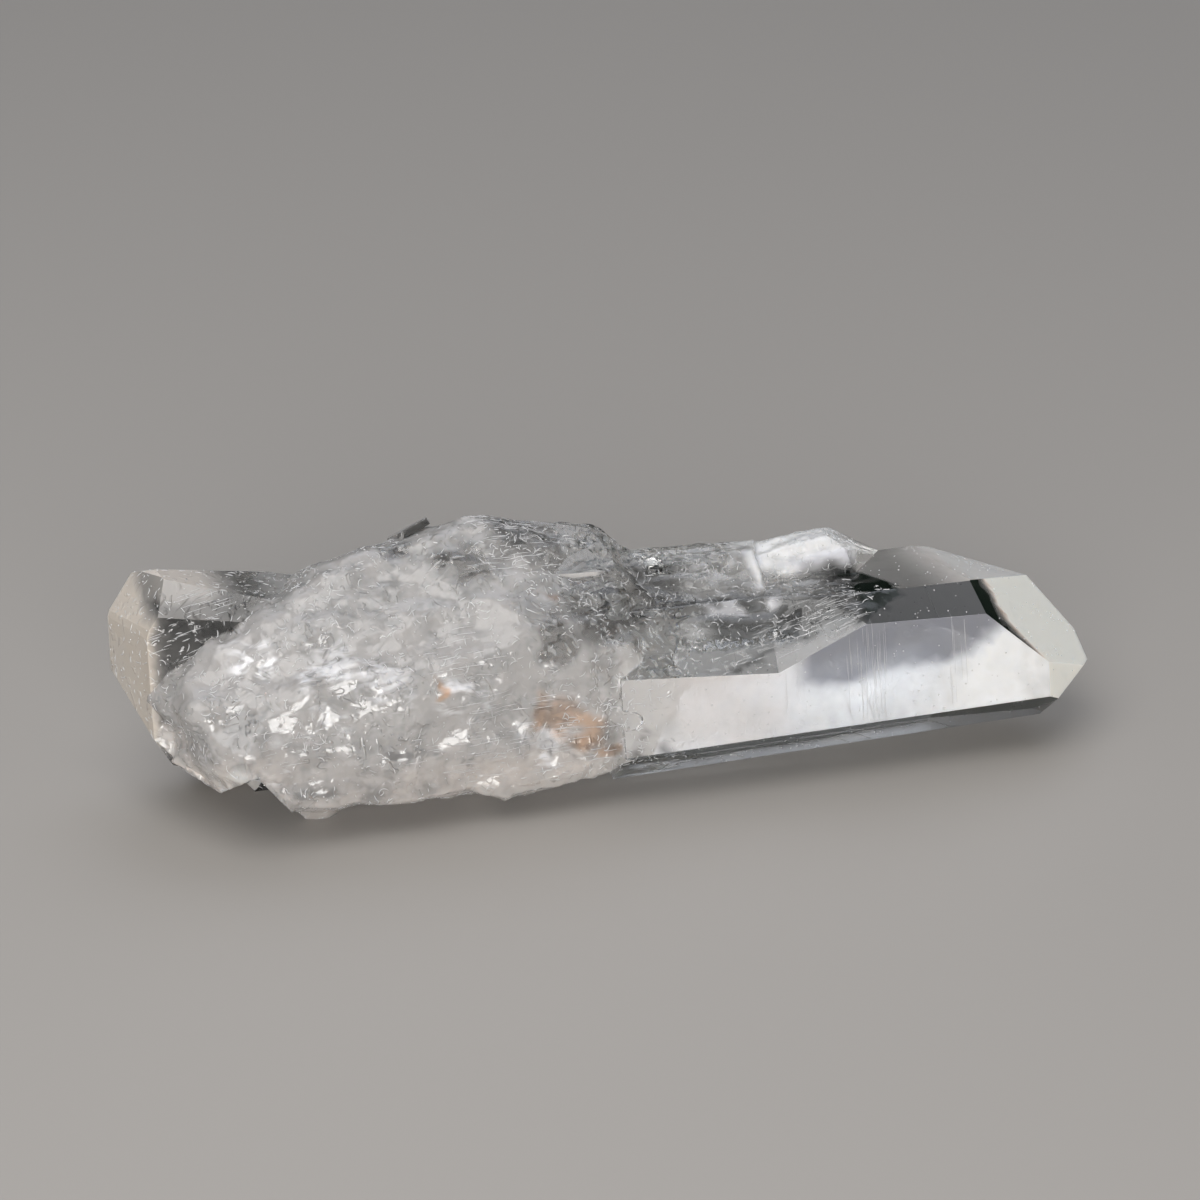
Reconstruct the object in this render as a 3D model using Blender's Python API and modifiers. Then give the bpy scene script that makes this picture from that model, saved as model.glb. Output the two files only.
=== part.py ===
"""Lemurian quartz crystal: one clear point with parallel growths, a rough milky root and a stub crystal.

The long (c) axis runs along X with the point at +X. Every flat face is named by its turn round that
axis (0 looks straight ahead along -Y, 90 looks up) and by its taper, the lean of its normal towards
the tip. Each growth is a cube cleaved face by face, and all growths are joined into one solid.
"""
import math

import bmesh
import bpy
from mathutils import Vector, noise

MM = 0.001
NAME = "quartz_crystal"

# Quartz angles, in degrees
RHOMB_TAPER = 38.2
AXIS_PITCH = 2.0
FRONT = 7.0
UPPER_FRONT = FRONT + 55.0
UPPER_BACK = FRONT + 120.0
BACK = FRONT + 180.0
LOWER_BACK = FRONT - 120.0
LOWER_FRONT = FRONT - 55.0
TOP = 97.0
UP = 90.0
DOWN = -90.0
TOWARDS_TIP = 90.0
TOWARDS_ROOT = -90.0

# The point's prism faces by their turn: how far each stands from the apex in mm, and its taper
PRISM_FACES = {
    FRONT: (4.3, 0.0),
    UPPER_FRONT: (8.9, 3.4),
    UPPER_BACK: (16.4, 0.0),
    BACK: (16.8, 0.0),
    LOWER_BACK: (4.6, 0.0),
    LOWER_FRONT: (3.55, -0.9),
}

# Places on the specimen, in mm
APEX = (50.6, -7.2, 7.2)
CREASE_BEND = (25.6, -10.3, 16.5)
CREASE_END = (11.9, -10.7, 12.8)
RIDGE_CREST = (7.5, 4.5, 20.6)
MELTED_CREST = (25.6, 4.5, 20.4)
SHOULDER_CREST = (0.4, 4.5, 24.4)
HUMP_CREST = (-12.0, 4.5, 27.2)
HUMP_BEND = (-25.4, 3.0, 25.0)
HUMP_KEEL = (-12.0, -11.6, 3.7)
HUMP_FRONT_END = (-4.0, -10.67, 10.0)
NOTCH_APEX = (-37.9, -11.3, 8.7)
SHARD_CREST = (-16.9, 5.6, 25.9)
STUB_CREST = (-43.0, 7.5, 23.6)

# Ladder steps: growth plates that end square across the axis, one behind the other, in mm
LADDERS = (
    # face, step height, where the plates end along the axis
    (BACK, 0.3, (31.0, 24.5, 21.0, 11.5, 5.0)),
    (LOWER_BACK, 0.25, (36.7, 28.3, 26.1, 15.0)),
)
PLATE_INSET = 0.9
PLATE_STAGGER = 0.13
PLATE_ROOT = -2.0

# Rough skin of the root, in mm
ROOT_VOXEL = 1.3
LUMP_SIZE = 8.0
LUMP_HEIGHT = 0.8
RIDGE_SIZE = 4.0
RIDGE_HEIGHT = 0.4
LEDGE_SPACING = 3.4
LEDGE_HEIGHT = 0.4
LEDGE_WANDER = 5.0
LEDGE_SLANT = 0.45

# Quartz finish
QUARTZ_COLOUR = (0.86, 0.85, 0.84, 1.0)
QUARTZ_ROUGHNESS = 0.12
QUARTZ_IOR = 1.544

TABLE_LEVEL = 0.0
WORK_CUBE = 260.0


def face(place, turn, taper=0.0, distance=0.0):
    """One flat face: through a place in mm, or standing a distance outside it."""
    return place, turn, taper, distance


def facing(turn, taper):
    """Unit normal of a face from its turn round the long axis and its taper towards the tip."""
    pitch = math.radians(AXIS_PITCH)
    axis = Vector((math.cos(pitch), 0.0, math.sin(pitch)))
    up = Vector((-math.sin(pitch), 0.0, math.cos(pitch)))
    turn_angle = math.radians(turn)
    taper_angle = math.radians(taper)
    sideways = Vector((0.0, -math.cos(turn_angle), 0.0)) + up * math.sin(turn_angle)
    return sideways * math.cos(taper_angle) + axis * math.sin(taper_angle)


def cleave(bm, point, normal):
    """Take off everything in front of a plane and close the flat face that is left."""
    geometry = bm.verts[:] + bm.edges[:] + bm.faces[:]
    bmesh.ops.bisect_plane(bm, geom=geometry, plane_co=point, plane_no=normal, clear_outer=True, dist=1e-6)
    rim = [edge for edge in bm.edges if edge.is_boundary]
    bmesh.ops.holes_fill(bm, edges=rim, sides=0)


def crystal(name, collection, faces):
    """A convex block of quartz: a cube cleaved by its faces, one after the other."""
    bm = bmesh.new()
    bmesh.ops.create_cube(bm, size=WORK_CUBE)
    for place, turn, taper, distance in faces:
        normal = facing(turn, taper)
        cleave(bm, Vector(place) + normal * distance, normal)
    bmesh.ops.scale(bm, vec=(MM, MM, MM), verts=bm.verts)
    bmesh.ops.recalc_face_normals(bm, faces=bm.faces)
    mesh = bpy.data.meshes.new(name)
    bm.to_mesh(mesh)
    bm.free()
    block = bpy.data.objects.new(name, mesh)
    collection.objects.link(block)
    return block


def prism_distance(turn):
    """Distance of the point's prism face that lies nearest to a turn."""
    nearest = min(PRISM_FACES, key=lambda known: abs((known - turn + 180.0) % 360.0 - 180.0))
    return PRISM_FACES[nearest][0]


def main_point(collection):
    """The clear six-sided point: its prism faces, then the six faces that close its tip."""
    prism = [face(APEX, turn, taper, distance) for turn, (distance, taper) in PRISM_FACES.items()]
    return crystal("main_point", collection, prism + [
        face((30.1, -7.0, 18.25), TOP, taper=3.0),
        face((37.5, -6.7, 18.25), TOP + 2.0, taper=18.5),
        face(APEX, UPPER_FRONT + 3.0, taper=RHOMB_TAPER + 0.7),
        face(APEX, FRONT, taper=RHOMB_TAPER),
        face((47.7, 2.0, 13.8), UPPER_BACK, taper=RHOMB_TAPER),
        face(APEX, BACK, taper=RHOMB_TAPER, distance=4.8),
        face(APEX, LOWER_BACK, taper=RHOMB_TAPER, distance=1.2),
        face(APEX, FRONT - 60.0, taper=RHOMB_TAPER),
        face((0.0, 0.0, 0.0), FRONT, taper=TOWARDS_ROOT),
    ])


def etched_recess(collection):
    """The cutter that takes the upper front edge off behind the tip, down to a long crease."""
    return crystal("etched_recess", collection, [
        face(CREASE_END, 228.0, taper=-4.3),
        face(CREASE_BEND, 230.0, taper=14.6),
        face((-26.0, 0.0, 0.0), FRONT, taper=TOWARDS_ROOT),
    ])


def shoulder(collection):
    """The parallel crystal on top of the root, with its own blunt termination."""
    return crystal("shoulder", collection, [
        face(SHOULDER_CREST, TOP, taper=13.0),
        face(SHOULDER_CREST, TOP, taper=55.0),
        face(SHOULDER_CREST, UPPER_FRONT + 5.0, taper=4.0, distance=0.6),
        face(SHOULDER_CREST, UPPER_FRONT, taper=RHOMB_TAPER, distance=1.5),
        face(SHOULDER_CREST, FRONT, distance=6.5),
        face(SHOULDER_CREST, 118.0, taper=12.0),
        face(SHOULDER_CREST, BACK, distance=5.0),
        face(SHOULDER_CREST, DOWN, distance=12.0),
        face((-11.0, 4.5, 26.0), 100.0, taper=-42.0),
    ])


def back_ridge(collection):
    """The low glassy ridge that runs on from the shoulder along the top of the point."""
    return crystal("back_ridge", collection, [
        face(RIDGE_CREST, TOP, taper=5.0),
        face(RIDGE_CREST, UPPER_FRONT, taper=2.0, distance=1.0),
        face(RIDGE_CREST, UPPER_BACK, taper=3.0, distance=0.6),
        face(RIDGE_CREST, BACK, distance=4.5),
        face(RIDGE_CREST, FRONT, distance=7.5),
        face(RIDGE_CREST, DOWN, distance=9.0),
        face((17.0, 0.0, 20.0), 60.0, taper=60.0),
        face((-6.0, 0.0, 0.0), FRONT, taper=TOWARDS_ROOT),
    ])


def melted_ridge(collection):
    """The smooth rounded ridge that rises towards the point and ends in a small step."""
    return crystal("melted_ridge", collection, [
        face(MELTED_CREST, 92.0, taper=-6.0),
        face(MELTED_CREST, 65.0, taper=-3.0, distance=0.5),
        face(MELTED_CREST, 40.0, distance=2.2),
        face(MELTED_CREST, 118.0, taper=-3.0, distance=0.5),
        face(MELTED_CREST, BACK, distance=3.2),
        face(MELTED_CREST, FRONT, distance=4.2),
        face(MELTED_CREST, UP, taper=32.0, distance=0.2),
        face(MELTED_CREST, 40.0, taper=50.0, distance=2.6),
        face(MELTED_CREST, DOWN, distance=8.0),
        face((8.0, 0.0, 0.0), FRONT, taper=TOWARDS_ROOT),
    ])


def hump(collection):
    """The milky root: the bulk of the left half of the specimen."""
    return crystal("hump", collection, [
        face(HUMP_CREST, TOP, taper=22.0),
        face(HUMP_CREST, TOP - 2.0, taper=-12.0),
        face(HUMP_BEND, TOP - 2.0, taper=-25.0),
        face(HUMP_CREST, UPPER_FRONT - 7.0, taper=11.0, distance=0.8),
        face(HUMP_CREST, UPPER_FRONT - 7.0, taper=-3.0, distance=0.6),
        face(HUMP_BEND, UPPER_FRONT - 7.0, taper=-14.0, distance=1.0),
        face(APEX, FRONT, distance=4.0),
        face(HUMP_FRONT_END, FRONT, taper=4.0),
        face(HUMP_KEEL, -67.0, taper=2.5),
        face(HUMP_KEEL, -67.0, taper=-4.7),
        face(HUMP_CREST, 122.0, taper=9.0),
        face(HUMP_CREST, 122.0, taper=-10.0),
        face(HUMP_BEND, 122.0, taper=-24.0, distance=0.3),
        face(HUMP_CREST, BACK, distance=7.5),
        face((-15.0, 12.0, 2.2), LOWER_BACK),
        face((0.0, 0.0, -1.0), DOWN),
        face((-43.6, -3.0, 15.0), 60.0, taper=-60.0),
        face((-43.4, -3.0, 10.5), -50.0, taper=-62.0),
        face((-41.0, -5.0, 6.6), -74.0, taper=-33.0),
        face((-42.0, -8.0, 12.0), FRONT, taper=-40.0),
        face((4.0, 0.0, 18.0), 60.0, taper=55.0),
        face((6.0, 0.0, 5.0), -40.0, taper=60.0),
    ])


def lip(collection):
    """The ledge under the left end."""
    return crystal("lip", collection, [
        face((-39.0, -3.0, 8.0), 82.0),
        face((-39.0, -7.5, 6.0), -14.0),
        face((-38.5, -4.0, 4.2), -78.0),
        face((-43.0, -4.0, 7.0), -45.0, taper=-50.0),
        face((-43.8, -3.0, 8.0), FRONT, taper=-84.0),
        face((-39.0, 6.0, 6.0), 180.0),
        face((-34.0, -3.0, 5.0), -45.0, taper=50.0),
    ])


def knob(collection):
    """The foot under the root that stands on the table."""
    return crystal("knob", collection, [
        face((-30.0, -4.0, -1.0), DOWN),
        face((-30.0, -4.4, 0.4), -35.0),
        face((-32.6, -3.0, 1.6), -50.0, taper=-50.0),
        face((-27.8, -3.0, 1.2), -50.0, taper=45.0),
        face((-30.0, 4.0, 2.0), 200.0),
        face((-30.0, 0.0, 8.0), UP),
    ])


def root_breaks():
    """The two flat breaks at the root's lower left end."""
    return [
        face((-46.1, -4.0, 11.0), -89.4, taper=-69.0),
        face((-43.1, -4.0, 6.6), -72.0, taper=-41.6),
    ]


def notch(collection):
    """The cutter that parts the ledge from the foot with a short notch."""
    return crystal("notch", collection, [
        face(NOTCH_APEX, 118.8, taper=-11.7),
        face(NOTCH_APEX, 94.1, taper=54.3),
        face((-38.0, 4.0, 6.0), BACK),
    ])


def stub(collection):
    """The short crystal that leans out of the back of the root at its left end."""
    return crystal("stub", collection, [
        face(STUB_CREST, 92.0, taper=15.0),
        face(STUB_CREST, UP, taper=-28.0, distance=0.2),
        face(STUB_CREST, 76.0, taper=-50.0, distance=0.5),
        face(STUB_CREST, 60.0, taper=-64.0, distance=2.1),
        face(STUB_CREST, 20.0, taper=-74.0, distance=3.8),
        face((-49.0, 4.0, 16.2), -80.0, taper=-76.0),
        face((-47.1, 4.0, 11.2), -92.0, taper=-60.0),
        face(STUB_CREST, 12.0, taper=-8.0, distance=5.0),
        face(STUB_CREST, 50.0, distance=1.6),
        face(STUB_CREST, 118.0, taper=8.0, distance=0.2),
        face(STUB_CREST, 190.0, distance=3.4),
        face((-40.0, 8.0, 7.0), -100.0, taper=-14.0),
        face((-24.0, 0.0, 0.0), FRONT, taper=TOWARDS_TIP),
    ])


def shard(collection):
    """A thin blade that stands out just behind the crest of the root."""
    return crystal("shard", collection, [
        face(SHARD_CREST, 116.0, taper=-20.0, distance=0.3),
        face(SHARD_CREST, 296.0, taper=20.0, distance=0.3),
        face(SHARD_CREST, 30.0, taper=-8.0, distance=0.6),
        face(SHARD_CREST, UP, taper=58.0, distance=1.2),
        face(SHARD_CREST, UP, taper=-74.0, distance=1.5),
        face(SHARD_CREST, BACK, distance=4.0),
    ])


def ladder_plates(collection):
    """Thin growth plates on the hidden faces of the point, each ending in a step across the axis.

    Every plate sits at its own depth, so that no two share a plane where they are joined.
    """
    plates = []
    for turn, step, ends in LADDERS:
        for index, end in enumerate(ends):
            depth = PLATE_INSET + PLATE_STAGGER * len(plates)
            outside = prism_distance(turn) + step * (index + 1)
            plates.append(crystal("ladder_plate", collection, [
                face(APEX, turn, distance=outside),
                face(APEX, turn - 60.0, distance=prism_distance(turn - 60.0) - depth),
                face(APEX, turn + 60.0, distance=prism_distance(turn + 60.0) - depth),
                face(APEX, turn + 180.0, distance=2.0 * depth - prism_distance(turn)),
                face((end, 0.0, 0.0), FRONT, taper=TOWARDS_TIP),
                face((PLATE_ROOT - depth, 0.0, 0.0), FRONT, taper=TOWARDS_ROOT),
            ]))
    return plates


def rough_skin(place):
    """How far the root's skin stands out at a place in mm: lumps, crossing ridges and broken ledges."""
    lumps = noise.noise(place / LUMP_SIZE) * LUMP_HEIGHT
    ridges = (0.5 - abs(noise.noise(place / RIDGE_SIZE))) * RIDGE_HEIGHT
    across = place.z + LEDGE_SLANT * place.y + LEDGE_WANDER * noise.noise(place / LUMP_SIZE)
    ledge_height = LEDGE_HEIGHT * (1.0 + noise.noise(place / RIDGE_SIZE))
    ledges = (math.floor(across / LEDGE_SPACING) % 2) * ledge_height
    return lumps + ridges + ledges


def bake(target):
    """Replace an object's mesh by its evaluated one and drop its modifiers."""
    bpy.context.view_layer.update()
    graph = bpy.context.evaluated_depsgraph_get()
    mesh = bpy.data.meshes.new_from_object(target.evaluated_get(graph))
    target.modifiers.clear()
    target.data = mesh


def roughen(target):
    """Turn a root block into one even skin and push it out and in by the rough pattern."""
    remesh = target.modifiers.new("even_skin", "REMESH")
    remesh.mode = "VOXEL"
    remesh.voxel_size = ROOT_VOXEL * MM
    bake(target)
    bm = bmesh.new()
    bm.from_mesh(target.data)
    bm.normal_update()
    moves = [vertex.normal * rough_skin(vertex.co / MM) * MM for vertex in bm.verts]
    for vertex, move in zip(bm.verts, moves):
        vertex.co += move
    bmesh.ops.triangulate(bm, faces=bm.faces)
    bm.to_mesh(target.data)
    bm.free()


def trim(target, faces):
    """Break flat faces off a finished block."""
    bm = bmesh.new()
    bm.from_mesh(target.data)
    for place, turn, taper, distance in faces:
        normal = facing(turn, taper)
        cleave(bm, (Vector(place) + normal * distance) * MM, normal)
    bmesh.ops.triangulate(bm, faces=bm.faces)
    bm.to_mesh(target.data)
    bm.free()


def add_boolean(target, block, operation):
    """Join a block to the target, or cut it out, with an exact Boolean."""
    boolean = target.modifiers.new(block.name, "BOOLEAN")
    boolean.operation = operation
    boolean.solver = "EXACT"
    boolean.object = block


def flatten_underside(target):
    """Grind the lowest points to one level, so that the specimen lies still on a table."""
    bm = bmesh.new()
    bm.from_mesh(target.data)
    cleave(bm, Vector((0.0, 0.0, TABLE_LEVEL * MM)), Vector((0.0, 0.0, -1.0)))
    bmesh.ops.triangulate(bm, faces=bm.faces)
    bm.to_mesh(target.data)
    bm.free()


def centre_on_origin(target):
    """Put the origin at the middle of the box's underside."""
    xs = [vertex.co.x for vertex in target.data.vertices]
    ys = [vertex.co.y for vertex in target.data.vertices]
    zs = [vertex.co.z for vertex in target.data.vertices]
    shift = Vector((-(min(xs) + max(xs)) / 2, -(min(ys) + max(ys)) / 2, -min(zs)))
    for vertex in target.data.vertices:
        vertex.co += shift


def quartz_finish():
    """Colourless glassy quartz."""
    material = bpy.data.materials.new("quartz")
    material.use_nodes = True
    shader = material.node_tree.nodes["Principled BSDF"]
    shader.inputs["Base Color"].default_value = QUARTZ_COLOUR
    shader.inputs["Roughness"].default_value = QUARTZ_ROUGHNESS
    shader.inputs["Metallic"].default_value = 0.0
    shader.inputs["IOR"].default_value = QUARTZ_IOR
    shader.inputs["Transmission Weight"].default_value = 1.0
    return material


def main():
    for leftover in list(bpy.data.objects):
        bpy.data.objects.remove(leftover)
    pieces = bpy.data.collections.new(NAME)
    growths = bpy.data.collections.new("growths")
    bpy.context.scene.collection.children.link(pieces)
    bpy.context.scene.collection.children.link(growths)

    root = hump(growths)
    feet = [lip(growths), knob(growths)]
    for foot in feet:
        add_boolean(root, foot, "UNION")
    bake(root)
    roughen(root)

    crystals = [shoulder(growths), back_ridge(growths), melted_ridge(growths), stub(growths), shard(growths)]
    crystals += ladder_plates(growths)
    recess = etched_recess(growths)
    gap = notch(growths)
    body = main_point(pieces)
    body.name = NAME
    add_boolean(body, recess, "DIFFERENCE")
    add_boolean(root, gap, "DIFFERENCE")
    bake(root)
    trim(root, root_breaks())
    for block in crystals + [root]:
        add_boolean(body, block, "UNION")
    bake(body)
    flatten_underside(body)
    centre_on_origin(body)
    body.data.materials.clear()
    body.data.materials.append(quartz_finish())

    for block in feet + crystals + [root, recess, gap]:
        block.hide_render = True
        block.display_type = "WIRE"


main()
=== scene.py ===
import math

import bmesh
import bpy
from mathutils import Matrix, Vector, noise


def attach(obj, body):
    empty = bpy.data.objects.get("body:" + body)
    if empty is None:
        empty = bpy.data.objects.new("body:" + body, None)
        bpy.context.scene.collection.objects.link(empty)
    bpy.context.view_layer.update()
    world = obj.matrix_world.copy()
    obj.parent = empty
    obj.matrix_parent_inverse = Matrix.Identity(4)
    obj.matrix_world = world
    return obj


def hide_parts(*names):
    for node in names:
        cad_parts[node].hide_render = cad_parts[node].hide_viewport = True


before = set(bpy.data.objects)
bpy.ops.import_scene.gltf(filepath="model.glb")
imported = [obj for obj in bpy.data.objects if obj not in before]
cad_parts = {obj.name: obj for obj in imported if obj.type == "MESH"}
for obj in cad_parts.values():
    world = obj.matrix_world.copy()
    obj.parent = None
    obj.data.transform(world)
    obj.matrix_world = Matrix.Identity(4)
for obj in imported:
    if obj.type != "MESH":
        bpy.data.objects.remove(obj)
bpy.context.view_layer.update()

MM = 0.001
BODY = "root"
NODE = "quartz_crystal"

# Where the specimen's own drawing origin lies in the frame, in mm
DRAWING_ORIGIN = Vector((-1.790, -0.095, 0.0))

# Lengths and places are in mm on the specimen's drawing, and angles in degrees, unless a line says
# otherwise. The places in calls of smoothstep are where a tint or a relief starts and ends.

# Dividing and rounding the skin. The solid's short edges belong to its rough root.
MERGE_DISTANCE = 0.001
ROUGH_EDGE_LIMIT = 2.6
ROUGH_EDGE = 0.45
FACET_EDGE = 1.1
EDGE_TOLERANCE = 1.4
DIVIDING_PASSES = 9
ROUGH_SHARE = 0.3
SMOOTHING_PASSES = 4
FOOT_TOP = 9.0
FOOT_PASSES = 1

# Relief of the rough root: the size of each kind of lump, and how far it stands out
PILLOW_SIZE, PILLOW_RELIEF = 2.4, 0.22
FIBRE_LENGTH, FIBRE_WIDTH, FIBRE_RELIEF = 7.0, 1.1, 0.14
FLAKE_SIZE, FLAKE_RELIEF, FLAKE_STEPS = 3.6, 0.34, 5.0
PIT_SPACING, PIT_DEPTH = 1.3, 0.10
CRACK_START, CRACK_END, CRACK_LEVEL = -19.5, -13.0, 15.8
CRACK_DEPTH, CRACK_WIDTH = 0.45, 0.4

# Relief of the weathered top of the point
STREAK_RELIEF, RIPPLE_RELIEF = 0.22, 0.12
GROOVE_LINE, GROOVE_DEPTH, GROOVE_WIDTH = -3.3, 0.55, 0.55
LEDGE_LINE, LEDGE_RISE = -6.0, 0.5
WANDER_LENGTH, WANDER_REACH = 3.0, 0.4

# The long crease in the point's front, and how far the weathered top above it reaches
CREASE_START, CREASE_LEVEL, CREASE_SLOPE = 11.9, 12.8, 0.27
TOP_START, TOP_END, TOP_FRONT = 0.0, 30.0, -10.5

# The stub lies to the left of its start and behind its front
STUB_START, STUB_FRONT = -30.0, -3.0

# How far, and in lumps of which size, the rim of a tinted patch wanders
RAGGED_SIZE = 2.2
RAGGED_REACH = 1.8
RAGGED_SEED = 6

# Strokes on the skin: their points, the sides of their section, the share of it that is left at
# their ends, and the ways they point, in radians
ARC_POINTS = 5
STROKE_SIDES = 4
STROKE_END_SHARE = 0.15
AXIS_DIRECTION = (0.0, math.radians(-2.0), 0.0)
ACROSS_DIRECTION = (0.0, math.radians(-92.0), 0.0)
DIAGONAL_DIRECTION = (math.radians(90.0), math.radians(-15.0), math.radians(1.7))

# Optics of quartz. Lengths are in metres, because shaders work in metres.
QUARTZ_IOR = 1.544
SCATTER_LENGTH = 0.0006
ABSORPTION_COLOUR = (0.80, 0.86, 0.84, 1.0)
ABSORPTION_DENSITY = 8.0
CLEAR_ROUGHNESS = 0.012
MILK_ROUGHNESS = 0.08
FROST_ROUGHNESS = 0.30

# How much light the milk, the wisps and the scratches stop, and how strongly stain and etching show
MILK_VEIL = 0.54
WISP_VEIL = 0.24
SCRATCH_VEIL = 0.24
STAIN_STRENGTH = 0.7
ETCH_STRENGTH = 0.6
ETCH_DEPTH = 0.00035

# Fineness of the patterns, in lumps to the metre
CLOUD_SCALE = 210.0
STRAND_SCALE = 620.0
CELL_SCALE = 520.0
STROKE_SCALE = 1500.0
GLINT_SCALE = 300.0

# Colours inside the quartz and on it
CLEAR = (1.0, 1.0, 1.0, 1.0)
MILKY = (0.575, 0.558, 0.55, 1.0)
WISP_WHITE = (0.86, 0.86, 0.89, 1.0)
IRON_STAIN = (0.66, 0.41, 0.25, 1.0)
# The colour of painted shade
DEEP_SHADE = (0.0015, 0.003, 0.002, 1.0)
# Colours of the marks: their whiteness and a painted glint
DULL_MARK = (0.66, 0.66, 0.68, 1.0)
BRIGHT_MARK = (0.92, 0.92, 0.93, 1.0)

# Studio: places and sizes in metres, powers in watts
FLOOR_REACH = 3.0
FLOOR_GREY = (0.33, 0.311, 0.292, 1.0)
TOP_LIGHT = {
    "place": (-0.22, -0.18, 0.58), "target": (0.0, 0.0, 0.0), "size": (0.6, 0.6),
    "power": 2.9, "colour": (1.0, 0.985, 0.97),
}
FRONT_LIGHT = {
    "place": (-0.22, -0.66, 0.20), "target": (-0.01, 0.0, 0.01), "size": (0.5, 0.3),
    "power": 4.4, "colour": (1.0, 0.98, 0.955),
}
ROOM_DARK = (0.012, 0.02, 0.015, 1.0)
ROOM_CEILING = (0.24, 0.245, 0.25, 1.0)
GLOW_WHITE = (1.30, 1.36, 1.50, 1.0)
GLOW_DIRECTION = (0.264, 0.468, 0.843)

# Camera
CAMERA_PLACE = Vector((-134.302, -441.035, 223.310))
CAMERA_ELEVATION = 24.0
CAMERA_AZIMUTH = -17.0
CAMERA_LENS = 150.0
CAMERA_SENSOR = 36.0

# How often light is followed inside the crystal, and off the floor
LIGHT_BOUNCES = 7
FLOOR_BOUNCES = 2

# The noise that makes rims ragged is seeded from the clock unless a seed is set
noise.seed_set(RAGGED_SEED)


def at(x, y, z):
    """A place on the specimen's drawing, in mm, as a place in the frame, in metres."""
    return (Vector((x, y, z)) + DRAWING_ORIGIN) * MM


def drawn(co):
    """A place in the frame, in metres, as a place on the specimen's drawing, in mm."""
    return co / MM - DRAWING_ORIGIN


def smoothstep(low, high, value):
    """A smooth ramp from 0 at low to 1 at high. Low may be the larger of the two."""
    share = min(max((value - low) / (high - low), 0.0), 1.0)
    return share * share * (3.0 - 2.0 * share)


# ---------------------------------------------------------------- crystal mesh

# Windows of clear quartz in the milky root: middle and radius
CLEAR_WINDOWS = (
    ((-0.5, -5.0, 19.0), 8.0),
    ((-6.6, -8.7, 17.6), 3.5),
    ((-3.0, 1.0, 25.0), 8.0),
    ((-14.0, -1.0, 25.0), 4.0),
    ((-20.0, 2.2, 25.1), 2.2),
    ((-38.9, -11.1, 9.1), 1.6),
    ((2.0, -9.0, 8.0), 3.0),
)
# Painted shade on the glassy patches: beside the root, along the groove and below the melted ridge
SHADED_GLASSY_PATCHES = (
    ((-1.0, -5.2, 19.5), 7.5),
    ((-6.6, 2.0, 25.0), 6.0),
    ((6.0, -2.0, 19.5), 6.5),
    ((13.0, -5.5, 17.3), 6.0),
    ((19.0, -7.5, 16.2), 5.0),
    ((-1.5, -11.0, 8.5), 2.6),
)
# Patches where the root is whitest, and a painted sheen on the melted ridge and its ledge (the entries
# from x 12 on)
WHITE_AND_SHEEN_PATCHES = (
    ((-39.0, -8.0, 6.0), 4.0),
    ((-43.5, -8.0, 10.5), 3.0),
    ((-36.0, -10.0, 9.5), 3.0),
    ((-36.7, -4.0, 18.1), 3.4),
    ((-30.0, -7.6, 17.7), 4.2),
    ((-31.0, -9.9, 13.6), 3.4),
    ((-24.6, -10.2, 15.9), 4.4),
    ((-14.5, -10.9, 14.9), 2.6),
    ((-17.5, -10.9, 14.9), 2.4),
    ((-8.0, -10.8, 9.5), 4.0),
    # Painted sheen on the melted ridge and its ledge
    ((12.0, 2.0, 19.6), 4.5),
    ((18.0, 1.5, 19.8), 5.0),
    ((24.5, 2.0, 20.2), 5.5),
    ((14.0, -3.2, 18.2), 2.4),
)
# Iron stain and the yellow mineral spots
STAINS = (
    ((-8.6, -10.8, 11.2), 2.2),
    ((-6.4, -11.0, 10.4), 2.8),
    ((-4.4, -11.3, 9.4), 2.8),
    ((-2.3, -11.0, 7.2), 1.4),
    ((-6.6, -4.6, 21.4), 1.5),
    ((-18.8, -11.0, 15.0), 0.9),
)
# Patches of fine straight growth lines
GRAIN_PATCHES = (
    ((-13.0, -11.2, 10.4), 6.5),
    ((-17.0, -10.8, 8.4), 5.0),
    ((-6.0, -11.2, 7.0), 4.5),
    ((-8.0, 1.0, 25.6), 6.5),
    ((-16.0, -8.5, 18.0), 4.5),
    ((-36.0, -9.5, 10.5), 4.0),
)

# Painted shade in the wrinkles where the root's front ends on the point's broad face
SEAM_SHADOWS = (
    ((1.6, -11.2, 7.2), 1.5),
    ((3.6, -11.2, 5.4), 1.6),
    ((6.0, -11.3, 4.4), 1.5),
    ((8.4, -11.3, 4.0), 1.2),
)

# Tones painted into the crystal: partly its milky haze, partly painted light and painted shade
# Cream: the root's creamy low part, and painted light in the tip's faces and on the stub's top
CREAM = Vector((1.0, 0.91, 0.85))
PINKISH = Vector((0.56, 0.51, 0.49))
WARM_GREY = Vector((0.46, 0.43, 0.415))
# Painted glow in the broad face towards the tip
COOL_WHITE = Vector((0.92, 0.95, 1.0))
# Painted grey-blue shade and reflection in the broad face
BLUE_GREY = Vector((0.26, 0.275, 0.36))
# Painted highlight on the weathered crest and ledge
LAVENDER = Vector((0.93, 0.92, 1.0))
ORANGE = Vector((0.80, 0.50, 0.28))
BUFF = Vector((0.50, 0.445, 0.385))

# The thin blade behind the crest, which carries painted shade
SHARD_MIDDLE = Vector((-16.9, 5.9, 26.0))
SHARD_REACH = 2.6

# Turns round the long axis and tapers towards the tip of the flat faces
AXIS_PITCH = 2.0
TIP_FACE = (65.0, 38.9)
TIP_LOWER_FACE = (7.0, 38.2)
BROAD_FACE = (7.0, 0.0)
KEEL_FACE = (-48.0, -0.9)
STRIP_FACE = (62.0, 3.4)
RECESS_FACE = (50.0, -14.6)
TOP_FACE = (97.0, 3.0)
TOP_TIP_FACE = (99.0, 18.5)
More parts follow.
